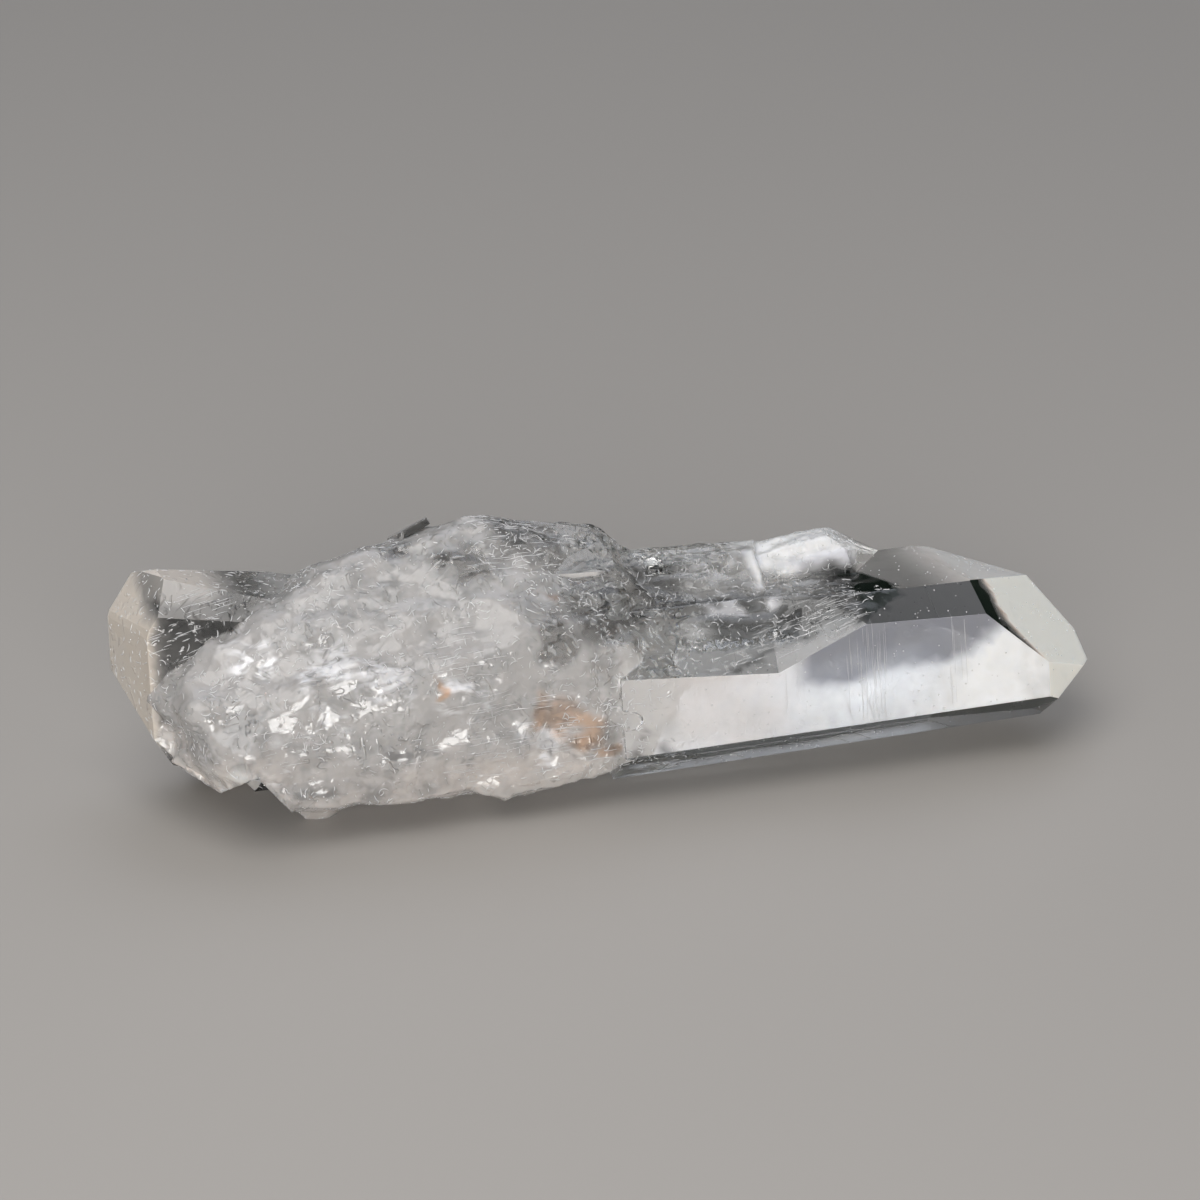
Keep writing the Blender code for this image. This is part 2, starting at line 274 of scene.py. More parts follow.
# Cosine past which a face counts as one of these
FACET_MATCH = 0.9993
STRIP_START = 16.0

# Corners of the tip
TIP_RIDGE_START = Vector((37.5, -6.7, 18.2))
TIP_RIDGE_BEND = Vector((38.2, -10.4, 16.1))
TIP_RIDGE_END = Vector((45.0, -11.2, 10.0))


def facing(turn, taper):
    """Unit normal of a face from its turn round the long axis and its taper towards the tip."""
    pitch = math.radians(AXIS_PITCH)
    axis = Vector((math.cos(pitch), 0.0, math.sin(pitch)))
    up = Vector((-math.sin(pitch), 0.0, math.cos(pitch)))
    turn_angle = math.radians(turn)
    taper_angle = math.radians(taper)
    sideways = Vector((0.0, -math.cos(turn_angle), 0.0)) + up * math.sin(turn_angle)
    return sideways * math.cos(taper_angle) + axis * math.sin(taper_angle)


def height_above_crease(place):
    """How far a place lies above the long slanting crease in the point's front."""
    return place.z - CREASE_LEVEL - (place.x - CREASE_START) * CREASE_SLOPE


def above_crease(place):
    """Whether a place lies on the weathered top of the point, above the crease and behind the tip."""
    on_top = TOP_START < place.x < TOP_END and place.y > TOP_FRONT
    return on_top and height_above_crease(place) > 0.2


def on_stub(place):
    """Whether a place lies on the stub crystal at the left end."""
    return place.x < STUB_START and place.y > STUB_FRONT


def nearness(place, spots):
    """How near a place is to the nearest of some ragged spots: 1 in the middle, 0 at the rim."""
    share = 0.0
    ragged = place + noise.noise_vector(place / RAGGED_SIZE) * RAGGED_REACH
    for centre, radius in spots:
        distance = (ragged - Vector(centre)).length
        share = max(share, 1.0 - smoothstep(0.35 * radius, radius, distance))
    return share


def mark_rough(bm, layer):
    """Mark the vertices of the root's rough skin, whose faces are all small."""
    limit = ROUGH_EDGE_LIMIT * MM
    for vertex in bm.verts:
        longest = max(edge.calc_length() for face in vertex.link_faces for edge in face.edges)
        vertex[layer] = 1.0 if longest < limit else 0.0


def divide(bm, layer):
    """Split long edges until the rough parts are fine and the flat facets evenly divided."""
    for _ in range(DIVIDING_PASSES):
        chosen = []
        for edge in bm.edges:
            first, second = edge.verts
            rough = first[layer] > ROUGH_SHARE or second[layer] > ROUGH_SHARE
            fine = rough or above_crease(drawn((first.co + second.co) / 2))
            limit = ROUGH_EDGE if fine else FACET_EDGE
            if edge.calc_length() > limit * MM * EDGE_TOLERANCE:
                chosen.append(edge)
        if not chosen:
            break
        bmesh.ops.subdivide_edges(bm, edges=chosen, cuts=1)
        many_sided = [face for face in bm.faces if len(face.verts) > 3]
        bmesh.ops.triangulate(bm, faces=many_sided, quad_method="SHORT_EDGE")


def soften(bm, layer):
    """Round the rough skin, as if it had been etched. The foot stays sharper than the rest."""
    skin = [vertex for vertex in bm.verts if vertex[layer] > ROUGH_SHARE]
    upper = [vertex for vertex in skin if drawn(vertex.co).z > FOOT_TOP]
    every_axis = {"use_axis_x": True, "use_axis_y": True, "use_axis_z": True}
    for turn in range(SMOOTHING_PASSES):
        soft = skin if turn < FOOT_PASSES else upper
        bmesh.ops.smooth_vert(bm, verts=soft, factor=0.5, **every_axis)


def furrow(offset, width):
    """A narrow furrow, 1 deep along its middle line."""
    return math.exp(-(offset / width) ** 2)


def etching(place):
    """How far the etched root stands out at a place."""
    pillows = noise.noise(place / PILLOW_SIZE) * PILLOW_RELIEF
    along = Vector((place.x / FIBRE_LENGTH, place.y / FIBRE_WIDTH, place.z / FIBRE_WIDTH))
    fibres = noise.noise(along) * FIBRE_RELIEF
    lumps = noise.noise(place / FLAKE_SIZE + Vector((7.0, 1.0, 3.0)))
    flakes = math.floor(lumps * FLAKE_STEPS) / FLAKE_STEPS * FLAKE_RELIEF
    nearest = noise.voronoi(place / PIT_SPACING)[0][0]
    pits = -PIT_DEPTH * (1.0 - smoothstep(0.1, 0.5, nearest))
    left_end = 1.0 + 0.8 * smoothstep(-30.0, -36.0, place.x)
    crack = 0.0
    if CRACK_START < place.x < CRACK_END and place.y < -7.0:
        crack = -CRACK_DEPTH * furrow(place.z - CRACK_LEVEL, CRACK_WIDTH)
    return pillows + fibres + flakes * left_end + pits + crack


def groove_wander(place):
    """How far the groove and the ledge wander sideways along the top."""
    return WANDER_REACH * noise.noise(Vector((place.x / WANDER_LENGTH, 0.0, 0.0)))


def weathering(place):
    """How far the weathered top of the point stands out at a place."""
    slanted = Vector((place.x / 5.0 + place.z / 2.0, place.y / 1.2, place.z / 1.3))
    streaks = noise.noise(slanted) * STREAK_RELIEF
    ripples = noise.noise(place / 1.1) * RIPPLE_RELIEF
    groove, ledge = 0.0, 0.0
    if place.z > 15.0:
        wander = groove_wander(place)
        reach = 1.0 - smoothstep(17.0, 20.0, place.x)
        groove = -GROOVE_DEPTH * furrow(place.y - GROOVE_LINE - wander, GROOVE_WIDTH) * reach
        ledge = LEDGE_RISE * smoothstep(0.5, -0.5, place.y - LEDGE_LINE - wander)
        ledge *= smoothstep(7.0, 9.0, place.x) * reach
    return streaks + ripples + groove + ledge


def displace(bm, layer):
    """Raise and lower the rough root and the weathered top, and keep everything above the table."""
    bm.normal_update()
    moves = []
    for vertex in bm.verts:
        place = drawn(vertex.co)
        lift = 0.0
        if vertex[layer] > 0.01:
            lift = etching(place) * vertex[layer]
        elif above_crease(place):
            edge = smoothstep(0.2, 1.4, height_above_crease(place))
            tip = 1.0 - smoothstep(26.0, 30.0, place.x)
            lift = weathering(place) * edge * tip
        lift *= smoothstep(0.0, 1.5, place.z)
        moves.append(vertex.normal * lift * MM)
    for vertex, move in zip(bm.verts, moves):
        vertex.co += move
        vertex.co.z = max(vertex.co.z, 0.0)


def distance_to_edge(place, start, end):
    """Distance of a place from a straight edge, and its share of the way along the edge."""
    along = end - start
    share = min(max((place - start).dot(along) / along.length_squared, 0.0), 1.0)
    return (place - start - along * share).length, share


def tip_stripe(place):
    """The stripe of painted shade in the tip's big face, along its edges with the strip and the broad
    face.
    """
    upper, _ = distance_to_edge(place, TIP_RIDGE_START, TIP_RIDGE_BEND)
    lower, share = distance_to_edge(place, TIP_RIDGE_BEND, TIP_RIDGE_END)
    stripe = 1.0 - smoothstep(2.8, 3.9, upper)
    return max(stripe, 1.0 - smoothstep(1.8, 3.4, lower + 3.2 * share))


def broad_face_tint(place):
    """The point's broad face, with painted light: pinkish at the root, a bluish white glow at the tip,
    painted grey-blue shade above.
    """
    level = place.z - 0.04 * (place.x - 25.0) + 0.8 * noise.noise(place / 4.0)
    cloud = noise.noise(place / 1.8)
    tone = WARM_GREY.lerp(PINKISH, smoothstep(2.0, 8.0, place.x + 2.0 * cloud))
    # Painted bluish white glow towards the tip
    tone = tone.lerp(COOL_WHITE, smoothstep(12.0, 24.0, place.x)) * (1.0 + 0.12 * cloud)
    # Painted grey-blue shade and reflection in the upper middle
    grey = smoothstep(10.2, 11.6, level) * smoothstep(17.0, 20.0, place.x)
    grey *= 1.0 - smoothstep(34.0, 38.0, place.x - 1.5 * (place.z - 12.0))
    tone = tone.lerp(BLUE_GREY, grey)
    haze_and_light = 0.45 + 0.20 * (1.0 - smoothstep(8.0, 26.0, place.x))
    haze_and_light += 0.30 * smoothstep(30.0, 38.0, place.x)
    # Painted shade in the wrinkles at the seam
    shade = max(0.42 * grey, 0.7 * nearness(place, SEAM_SHADOWS))
    return shade, min(haze_and_light + 0.35 * grey, 0.75) - 0.2 * abs(cloud), tone


def facet_tint(place, normal):
    """Painted shade, haze with painted light, and tone of a flat face at a place."""
    # The tip's big face: a stripe of painted shade along its edges, and painted cream light elsewhere
    if normal.dot(facing(*TIP_FACE)) > FACET_MATCH:
        stripe = tip_stripe(place)
        fringe = smoothstep(0.05, 0.5, stripe) * smoothstep(0.95, 0.5, stripe)
        return stripe, 1.1 * (1.0 - stripe), CREAM.lerp(ORANGE, 0.8 * fringe)
    # The tip's lower face: painted cream light
    if normal.dot(facing(*TIP_LOWER_FACE)) > FACET_MATCH:
        return 0.0, 1.1, CREAM
    # The keel face: painted shade, where it shows the floor's shadow
    if normal.dot(facing(*KEEL_FACE)) > FACET_MATCH and place.z < 12.0:
        return 0.7, 0.0, CREAM
    # The strip: painted shade, with a painted glint near the tip
    if place.x > STRIP_START and normal.dot(facing(*STRIP_FACE)) > FACET_MATCH:
        glint = smoothstep(34.2, 34.6, place.x + 0.5 * place.y)
        glint *= smoothstep(38.5, 38.1, place.x - 0.6 * place.y)
        return 0.95 - 0.70 * glint, 0.45 * glint, CREAM
    # The top faces: painted shade giving way to painted cream light towards the tip
    top = max(normal.dot(facing(*TOP_FACE)), normal.dot(facing(*TOP_TIP_FACE)))
    if place.x > STRIP_START and top > FACET_MATCH:
        towards_tip = smoothstep(32.0, 40.0, place.x)
        return 0.55 * (1.0 - towards_tip), 0.35 + 0.30 * towards_tip, CREAM
    if normal.dot(facing(*BROAD_FACE)) > FACET_MATCH:
        return broad_face_tint(place)
    # The recess face: painted shade with a little pinkish haze
    if normal.dot(facing(*RECESS_FACE)) > FACET_MATCH:
        return 0.45, 0.22, PINKISH
    return 0.0, 0.0, CREAM


def stub_rim(place, normal):
    """How far a place belongs to the stub's pale rim: its broken end, and painted light on its upward
    faces and along its top edge.
    """
    ragged = 0.5 * noise.noise(place / 1.5)
    end = smoothstep(-44.0, -45.6, place.x + ragged)
    # Painted light on the upward faces and along the top edge
    top = smoothstep(0.70, 0.85, normal.z) * smoothstep(-33.0, -40.0, place.x)
    crest = smoothstep(21.2, 22.4, place.z + ragged) * smoothstep(-36.0, -39.0, place.x)
    return max(end, 0.9 * top, 0.6 * crest)


def stub_tint(place, normal):
    """The stub: pale at the rim, creamier in painted light on its upward faces, and dark inside with
    painted shade.
    """
    rim = stub_rim(place, normal)
    # Painted shade inside the stub
    inside = (1.0 - rim) * smoothstep(-32.0, -36.0, place.x)
    # Creamier painted light on the upward faces
    return 0.85 * inside, 0.9 * rim, BUFF.lerp(CREAM, 0.5 * smoothstep(0.5, 0.8, normal.z))


def ridge_tint(place):
    """The weathered top: painted highlight on its crest and ledge, painted shade in its groove,
    crease, slope and strip behind the tip.
    """
    dark = nearness(place, SHADED_GLASSY_PATCHES)
    strip = smoothstep(20.0, 26.0, place.x) * smoothstep(2.0, 0.0, place.y)
    wander = groove_wander(place)
    groove = furrow(place.y - GROOVE_LINE - wander, 0.9)
    groove *= 1.0 - smoothstep(17.0, 20.0, place.x)
    ledge = smoothstep(LEDGE_LINE - 0.5, LEDGE_LINE + 0.5, place.y)
    ledge *= smoothstep(GROOVE_LINE - 0.6, GROOVE_LINE - 1.2, place.y)
    ledge *= smoothstep(9.0, 11.0, place.x) * (1.0 - smoothstep(17.0, 19.0, place.x))
    ragged = 1.6 * noise.noise(place / 1.8)
    crest = smoothstep(-3.8, -1.2, place.y + ragged)
    crest *= smoothstep(14.0, 18.5, place.x + 1.5 * ragged)
    crest *= smoothstep(17.5, 19.5, place.z + 0.5 * ragged)
    torn = smoothstep(-0.25, 0.2, noise.noise(place / 2.0 + Vector((4.0, 2.0, 9.0))))
    # Painted highlight on the crest and the ledge
    painted_highlight = max(0.55 * ledge * torn, 0.70 * crest)
    above = height_above_crease(place)
    slant = 0.9 * smoothstep(12.0, 18.0, place.x) * smoothstep(0.4, 1.2, above)
    slant *= smoothstep(-5.0, -6.5, place.y)
    crease = 0.8 * smoothstep(0.9, 0.4, above) * (1.0 - smoothstep(15.0, 19.0, place.x))
    # Painted shade in the groove, along the crease, on the slope above it and in the strip behind the
    # tip
    shade = max(0.85 * dark, strip, groove, slant, crease)
    return shade * (1.0 - painted_highlight), painted_highlight, LAVENDER


def root_tint(place):
    """The rough root: creamy low down, with painted shade on its glassy patches, greyer where it meets
    the point.
    """
    low = 0.5 * (1.0 - smoothstep(3.0, 11.0, place.z + 3.5 * noise.noise(place / 4.0)))
    low += 0.3 * smoothstep(-34.0, -38.0, place.x) * (1.0 - smoothstep(8.0, 12.0, place.z))
    seam = smoothstep(-4.0, 1.5, place.x + 2.0 * noise.noise(place / 2.0))
    seam *= smoothstep(-8.0, -9.5, place.y)
    # Painted shade on the glassy patches
    shade = 0.55 * nearness(place, SHADED_GLASSY_PATCHES) * (1.0 - seam)
    return shade, max(low, 0.6 * seam), CREAM.lerp(WARM_GREY, seam)


def tint_at(place, normal, rough):
    """Painted shade, haze with painted light, and tone at a place, for every part of the crystal."""
    if rough > ROUGH_SHARE:
        return root_tint(place)
    if on_stub(place):
        return stub_tint(place, normal)
    # The thin blade: painted shade
    if (place - SHARD_MIDDLE).length < SHARD_REACH:
        return 0.85, 0.0, CREAM
    if above_crease(place):
        return ridge_tint(place)
    return facet_tint(place, normal)


def mark_density(place, rough, weathered):
    """How closely the etch marks stand: most on the glassy patches with painted shade, in drifts on
    the root.
    """
    if on_stub(place) and rough < ROUGH_SHARE:
        return 0.35
    drift = smoothstep(-0.05, 0.30, noise.noise(place / 4.5 + Vector((3.0, 8.0, 1.0))))
    root = rough * (0.12 + 0.65 * drift)
    glassy = max(rough, 0.7 * weathered) * nearness(place, SHADED_GLASSY_PATCHES)
    crest = weathered * (0.25 + 0.3 * drift)
    beside_point = smoothstep(-6.0, -2.0, place.x) * (1.0 - smoothstep(1.0, 7.0, place.x))
    return max(root, glassy, crest, 0.7 * beside_point * smoothstep(-8.0, -10.0, place.y))


def grain_density(place, rough):
    """How closely the straight growth lines stand."""
    return rough * nearness(place, GRAIN_PATCHES)


def flake(place):
    """The small flat white flake below the crack in the root's front."""
    across = smoothstep(-18.8, -18.3, place.x) * smoothstep(-13.2, -13.7, place.x)
    up = smoothstep(13.9, 14.3, place.z) * smoothstep(15.7, 15.4, place.z)
    return across * up * smoothstep(-8.0, -9.0, place.y)


def diagonal_density(place, normal):
    """How closely the slanting lines stand: on the recess next to the crease, and on the stub."""
    if -45.0 < place.x < -36.0 and place.y > 0.0 and normal.y < -0.3:
        return 0.8 * smoothstep(0.0, 0.35, noise.noise(place / 2.5))
    if not 6.0 < place.x < 27.0 or normal.y > -0.2:
        return 0.0
    height = height_above_crease(place)
    streaked = smoothstep(0.1, 0.6, height) * (1.0 - smoothstep(1.8, 3.2, height))
    return streaked * smoothstep(9.0, 15.0, place.x) * smoothstep(-3.0, -6.0, place.y)


def faint_etching(place, normal):
    """How deeply the flat faces are etched: the stub and the recess more than the broad face."""
    if on_stub(place):
        return 0.7
    if normal.y > -0.3 or not 4.0 < place.x < 45.0:
        return 0.0
    if normal.z > 0.5:
        return 0.45 * (1.0 - smoothstep(24.0, 30.0, place.x))
    return 0.12 + 0.5 * (1.0 - smoothstep(3.0, 9.0, place.x))


def crossing_density(place, normal):
    """How closely the lines across the broad front face stand: in three narrow bands."""
    if normal.y > -0.9 or place.z < 4.0:
        return 0.0
    bands = (smoothstep(23.4, 24.4, place.x) * smoothstep(28.0, 27.4, place.x),
             0.6 * smoothstep(34.6, 35.2, place.x) * smoothstep(36.2, 35.8, place.x),
             0.3 * smoothstep(15.0, 17.0, place.x) * smoothstep(21.0, 19.0, place.x))
    return max(bands)


def paint(mesh):
    """Write the attributes that the quartz material and the marks read."""
    names = ("milk", "white", "stain", "etch", "marks", "grain", "diagonal", "crossing", "frost")
    values = {name: [] for name in names}
    rough = mesh.attributes["rough"].data
    for index, vertex in enumerate(mesh.vertices):
        place = drawn(vertex.co)
        roughness = rough[index].value
        root = 1.0 - smoothstep(-3.0, 3.0, place.x + 3.0 * noise.noise(place / 5.0))
        stub = smoothstep(-30.0, -34.0, place.x) * smoothstep(1.0, 3.0, place.y)
        stub *= 1.0 - roughness
        clear = nearness(place, CLEAR_WINDOWS)
        weathered = 0.0
        if above_crease(place):
            weathered = smoothstep(0.0, 1.5, height_above_crease(place))
        values["milk"].append(max(root * (1.0 - 0.9 * clear) * (1.0 - 0.75 * stub), 0.0))
        values["white"].append(max(nearness(place, WHITE_AND_SHEEN_PATCHES), flake(place)))
        values["stain"].append(nearness(place, STAINS))
        values["etch"].append(max(roughness, 0.5 * weathered, faint_etching(place, vertex.normal)))
        values["marks"].append(mark_density(place, roughness, weathered))
        values["grain"].append(grain_density(place, roughness))
        values["diagonal"].append(diagonal_density(place, vertex.normal))
        values["crossing"].append(crossing_density(place, vertex.normal))
        values["frost"].append(smoothstep(0.1, 0.3, vertex.normal.y) * (1.0 - roughness))
    for name, numbers in values.items():
        mesh.attributes.new(name, "FLOAT", "POINT").data.foreach_set("value", numbers)


def paint_corners(mesh):
    """Write painted shade, haze with painted light, and tone corner by corner, so that they end
    sharply at a flat face's edges.
    """
    rough = [item.value for item in mesh.attributes["rough"].data]
    places = [drawn(vertex.co) for vertex in mesh.vertices]
    shades, hazes_and_lights, tones = [], [], []
    for polygon in mesh.polygons:
        for vertex in polygon.vertices:
            shade, haze_and_light, tone = tint_at(places[vertex], polygon.normal, rough[vertex])
            shades.append(shade)
            hazes_and_lights.append(haze_and_light)
            tones.extend((*tone, 1.0))
    mesh.attributes.new("shade", "FLOAT", "CORNER").data.foreach_set("value", shades)
    mesh.attributes.new("haze_and_light", "FLOAT", "CORNER").data.foreach_set("value", hazes_and_lights)
    mesh.attributes.new("tone", "FLOAT_COLOR", "CORNER").data.foreach_set("color", tones)


def shade_smooth(mesh):
    """Shade the rough parts and the weathered top smooth, and leave the flat faces flat."""
    rough = [item.value for item in mesh.attributes["rough"].data]
    for index, vertex in enumerate(mesh.vertices):
        if above_crease(drawn(vertex.co)):
            rough[index] = 1.0
    for polygon in mesh.polygons:
        polygon.use_smooth = min(rough[index] for index in polygon.vertices) > 0.02


def crystal_skin():
    """The crystal: the solid's own facets, with the rough parts divided, rounded and etched."""
    bm = bmesh.new()
    bm.from_mesh(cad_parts[NODE].data)
    bmesh.ops.remove_doubles(bm, verts=bm.verts, dist=MERGE_DISTANCE * MM)
    layer = bm.verts.layers.float.new("rough")
    mark_rough(bm, layer)
    divide(bm, layer)
    soften(bm, layer)
    displace(bm, layer)
    mesh = bpy.data.meshes.new("crystal")
    bm.to_mesh(mesh)
    bm.free()
    paint(mesh)
    paint_corners(mesh)
    shade_smooth(mesh)
    piece = bpy.data.objects.new("crystal", mesh)
    bpy.context.scene.collection.objects.link(piece)
    return piece


# ---------------------------------------------------------------- marks on the skin

def add_socket(tree, name, kind, value=None, into="INPUT"):
    """Give a tree a named input or output, and return the name by which a modifier knows it."""
    socket = tree.interface.new_socket(name=name, in_out=into, socket_type=kind)
    if value is not None:
        socket.default_value = value
    return socket.identifier


def new_tree(name, result, sizes):
    """A tree that takes a skin and named sizes, with its input and output nodes."""
    tree = bpy.data.node_groups.new(name, "GeometryNodeTree")
    add_socket(tree, "Skin", "NodeSocketGeometry")
    add_socket(tree, result, "NodeSocketGeometry", into="OUTPUT")
    ids = {label: add_socket(tree, label, kind, value) for label, kind, value in sizes}
    return tree, ids, tree.nodes.new("NodeGroupInput"), tree.nodes.new("NodeGroupOutput")


def random_size(tree, entry, smallest, largest):
    """A random size between two of the tree's inputs."""
    size = tree.nodes.new("FunctionNodeRandomValue")
    size.data_type = "FLOAT"
    tree.links.new(entry.outputs[smallest], size.inputs[2])
    tree.links.new(entry.outputs[largest], size.inputs[3])
    tree.links.new(entry.outputs["Seed"], size.inputs["Seed"])
    return size.outputs[1]


def strewn_points(tree, entry, density):
    """Points strewn at random over the skin."""
    points = tree.nodes.new("GeometryNodeDistributePointsOnFaces")
    points.distribute_method = "RANDOM"
    tree.links.new(entry.outputs["Skin"], points.inputs["Mesh"])
    tree.links.new(density, points.inputs["Density"])
    tree.links.new(entry.outputs["Seed"], points.inputs["Seed"])
    return points


def finished(tree, mesh, leave, result):
    """End a tree with real meshes in the marks' own material."""
    real = tree.nodes.new("GeometryNodeRealizeInstances")
    finish = tree.nodes.new("GeometryNodeSetMaterial")
    finish.inputs["Material"].default_value = bpy.data.materials["white_etch_and_glint"]
    tree.links.new(mesh, real.inputs["Geometry"])
    tree.links.new(real.outputs["Geometry"], finish.inputs["Geometry"])
    tree.links.new(finish.outputs["Geometry"], leave.inputs[result])


def painted_density(tree, entry, density_name):
    """The tree's density times the density that is painted on the skin."""
    spread = tree.nodes.new("GeometryNodeInputNamedAttribute")
    spread.data_type = "FLOAT"
    spread.inputs["Name"].default_value = density_name
    amount = tree.nodes.new("ShaderNodeMath")
    amount.operation = "MULTIPLY"
    tree.links.new(spread.outputs["Attribute"], amount.inputs[0])
    tree.links.new(entry.outputs["Density"], amount.inputs[1])
    return amount.outputs[0]


def arc(tree, sweep):
    """An arc of a given sweep in degrees, one unit wide, as a curve that is ready to be repeated."""
    half = math.radians(sweep) / 2
    radius = 0.5 / math.sin(min(half, math.pi / 2))
    node = tree.nodes.new("GeometryNodeCurveArc")
    node.inputs["Resolution"].default_value = ARC_POINTS
    node.inputs["Radius"].default_value = radius
    node.inputs["Start Angle"].default_value = math.pi / 2 - half
    node.inputs["Sweep Angle"].default_value = 2 * half
    shift = tree.nodes.new("GeometryNodeTransform")
    shift.inputs["Translation"].default_value = (0.0, -radius, 0.0)
    tree.links.new(node.outputs["Curve"], shift.inputs["Geometry"])
    return shift.outputs["Geometry"]


def spun_on_skin(tree, entry, points):
    """The turn of a stroke that lies flat on the skin and points anywhere."""
    spin = tree.nodes.new("FunctionNodeRandomValue")
    spin.data_type = "FLOAT_VECTOR"
    spin.inputs[0].default_value = (0.0, 0.0, -math.pi)
    spin.inputs[1].default_value = (0.0, 0.0, math.pi)
    tree.links.new(entry.outputs["Seed"], spin.inputs["Seed"])
    turn = tree.nodes.new("FunctionNodeRotateRotation")
    turn.rotation_space = "LOCAL"
    tree.links.new(points.outputs["Rotation"], turn.inputs["Rotation"])
    tree.links.new(spin.outputs[0], turn.inputs["Rotate By"])
    return turn.outputs["Rotation"]


def strokes_on_points(tree, entry, points, sweeps, turn):
    """One arc on each point, of a random sweep and length."""
    shapes = tree.nodes.new("GeometryNodeJoinGeometry")
    for sweep in sweeps:
        wrapped = tree.nodes.new("GeometryNodeGeometryToInstance")
        tree.links.new(arc(tree, sweep), wrapped.inputs["Geometry"])
        tree.links.new(wrapped.outputs["Instances"], shapes.inputs["Geometry"])
    choice = tree.nodes.new("FunctionNodeRandomValue")
    choice.data_type = "INT"
    choice.inputs[4].default_value = 0
    choice.inputs[5].default_value = len(sweeps) - 1
    tree.links.new(entry.outputs["Seed"], choice.inputs["Seed"])
    place = tree.nodes.new("GeometryNodeInstanceOnPoints")
    place.inputs["Pick Instance"].default_value = True
    tree.links.new(points.outputs["Points"], place.inputs["Points"])
    tree.links.new(shapes.outputs["Geometry"], place.inputs["Instance"])
    tree.links.new(choice.outputs[2], place.inputs["Instance Index"])
    tree.links.new(random_size(tree, entry, "Shortest", "Longest"), place.inputs["Scale"])
    tree.links.new(turn, place.inputs["Rotation"])
    return place.outputs["Instances"]


def pressed_on_skin(tree, entry, strokes):
    """Bend strokes so that every point of them lies on the skin."""
    loose = tree.nodes.new("GeometryNodeRealizeInstances")
    tree.links.new(strokes, loose.inputs["Geometry"])
    nearest = tree.nodes.new("GeometryNodeProximity")
    nearest.target_element = "FACES"
    tree.links.new(entry.outputs["Skin"], nearest.inputs[0])
    pressed = tree.nodes.new("GeometryNodeSetPosition")
    tree.links.new(loose.outputs["Geometry"], pressed.inputs["Geometry"])
    tree.links.new(nearest.outputs["Position"], pressed.inputs["Position"])
    return pressed.outputs["Geometry"]


def drawn_out(tree, entry, strokes):
    """Draw strokes out as closed ridges that are thickest in the middle."""
    along = tree.nodes.new("GeometryNodeSplineParameter")
    taper = tree.nodes.new("ShaderNodeFloatCurve")
    curve = taper.mapping.curves[0]
    curve.points[0].location = (0.0, STROKE_END_SHARE)
    curve.points[1].location = (1.0, STROKE_END_SHARE)
    curve.points.new(0.5, 1.0)
    taper.mapping.update()
    tree.links.new(along.outputs["Factor"], taper.inputs["Value"])
    profile = tree.nodes.new("GeometryNodeCurvePrimitiveCircle")
    profile.inputs["Resolution"].default_value = STROKE_SIDES
    tree.links.new(entry.outputs["Thickness"], profile.inputs["Radius"])
    ridges = tree.nodes.new("GeometryNodeCurveToMesh")
    ridges.inputs["Fill Caps"].default_value = True
    tree.links.new(strokes, ridges.inputs["Curve"])
    tree.links.new(profile.outputs["Curve"], ridges.inputs["Profile Curve"])
    tree.links.new(taper.outputs["Value"], ridges.inputs["Scale"])
    return ridges.outputs["Mesh"]


def marks_tree(name, density_name, sweeps, follow_skin):
    """Short strokes strewn over a skin, bent on to it and drawn out as thin tapered ridges."""
    tree, ids, entry, leave = new_tree(name, "Marks", (
        ("Density", "NodeSocketFloat", 1.0),
        ("Shortest", "NodeSocketFloat", 0.3 * MM),
        ("Longest", "NodeSocketFloat", 1.4 * MM),
        ("Thickness", "NodeSocketFloat", 0.05 * MM),
        ("Direction", "NodeSocketVector", (0.0, 0.0, 0.0)),
        ("Seed", "NodeSocketInt", 1),
    ))
    points = strewn_points(tree, entry, painted_density(tree, entry, density_name))
    turn = spun_on_skin(tree, entry, points) if follow_skin else entry.outputs["Direction"]
    strokes = strokes_on_points(tree, entry, points, sweeps, turn)
    ridges = drawn_out(tree, entry, pressed_on_skin(tree, entry, strokes))
    finished(tree, ridges, leave, "Marks")
    return tree, ids


def specks_tree():
    """Small white grains that sit all over a skin."""
    tree, ids, entry, leave = new_tree("specks", "Grains", (
        ("Density", "NodeSocketFloat", 1.0),
        ("Smallest", "NodeSocketFloat", 0.05 * MM),
        ("Largest", "NodeSocketFloat", 0.1 * MM),
        ("Seed", "NodeSocketInt", 1),
    ))
    points = strewn_points(tree, entry, entry.outputs["Density"])
    grain = tree.nodes.new("GeometryNodeMeshIcoSphere")
    grain.inputs["Radius"].default_value = 1.0
    grain.inputs["Subdivisions"].default_value = 1
    place = tree.nodes.new("GeometryNodeInstanceOnPoints")
    tree.links.new(points.outputs["Points"], place.inputs["Points"])
    tree.links.new(grain.outputs["Mesh"], place.inputs["Instance"])
    tree.links.new(random_size(tree, entry, "Smallest", "Largest"), place.inputs["Scale"])
    finished(tree, place.outputs["Instances"], leave, "Grains")
    return tree, ids


def strew(name, skin, tree, ids, sizes):
    """Run a tree on the crystal's skin with its own sizes, and keep the result as a plain mesh."""
    piece = bpy.data.objects.new(name, skin.data.copy())
    bpy.context.scene.collection.objects.link(piece)
    modifier = piece.modifiers.new(name, "NODES")
    modifier.node_group = tree
    for label, value in sizes.items():
        modifier[ids[label]] = value
    graph = bpy.context.evaluated_depsgraph_get()
    graph.update()
    mesh = bpy.data.meshes.new_from_object(piece.evaluated_get(graph))
    piece.modifiers.clear()
    piece.data = mesh
    mesh.name = name
    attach(piece, BODY)
    return piece


# ---------------------------------------------------------------- materials

